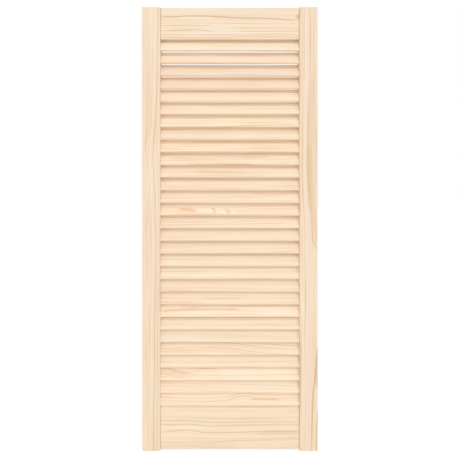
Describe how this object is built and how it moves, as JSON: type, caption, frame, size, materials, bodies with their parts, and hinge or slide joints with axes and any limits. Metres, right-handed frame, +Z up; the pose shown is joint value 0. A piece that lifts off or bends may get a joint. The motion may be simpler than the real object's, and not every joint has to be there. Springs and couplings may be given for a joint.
{
  "type": "louvred cabinet door",
  "caption": "Pine cabinet door with a dowelled frame of stiles and rails and fixed, slanting, round-edged slats in routed slots; closes a cupboard and lets air through.",
  "frame": {"origin": "under the stiles' feet, at the middle of the door's width and thickness", "axes": "+X along the slats, to the right seen from the front; +Y from front to back; +Z up"},
  "size_m": [0.394, 0.021, 0.993],
  "materials": {
    "stile_pine": "planed, untreated",
    "rail_pine": "planed, untreated",
    "slat_pine": "planed, untreated",
    "dowel_beech": "fluted"
  },
  "bodies": {
    "root": {"left_stile": "stile_pine", "right_stile": "stile_pine", "top_rail": "rail_pine", "bottom_rail": "rail_pine", "slat_01": "slat_pine", "slat_02": "slat_pine", "slat_03": "slat_pine", "slat_04": "slat_pine", "slat_05": "slat_pine", "slat_06": "slat_pine", "slat_07": "slat_pine", "slat_08": "slat_pine", "slat_09": "slat_pine", "slat_10": "slat_pine", "slat_11": "slat_pine", "slat_12": "slat_pine", "slat_13": "slat_pine", "slat_14": "slat_pine", "slat_15": "slat_pine", "slat_16": "slat_pine", "slat_17": "slat_pine", "slat_18": "slat_pine", "slat_19": "slat_pine", "slat_20": "slat_pine", "slat_21": "slat_pine", "slat_22": "slat_pine", "slat_23": "slat_pine", "slat_24": "slat_pine", "slat_25": "slat_pine", "slat_26": "slat_pine", "slat_27": "slat_pine", "slat_28": "slat_pine", "slat_29": "slat_pine", "dowel_top_rail_upper_left": "dowel_beech", "dowel_top_rail_upper_right": "dowel_beech", "dowel_top_rail_lower_left": "dowel_beech", "dowel_top_rail_lower_right": "dowel_beech", "dowel_bottom_rail_upper_left": "dowel_beech", "dowel_bottom_rail_upper_right": "dowel_beech", "dowel_bottom_rail_lower_left": "dowel_beech", "dowel_bottom_rail_lower_right": "dowel_beech"}
  },
  "joints": []
}
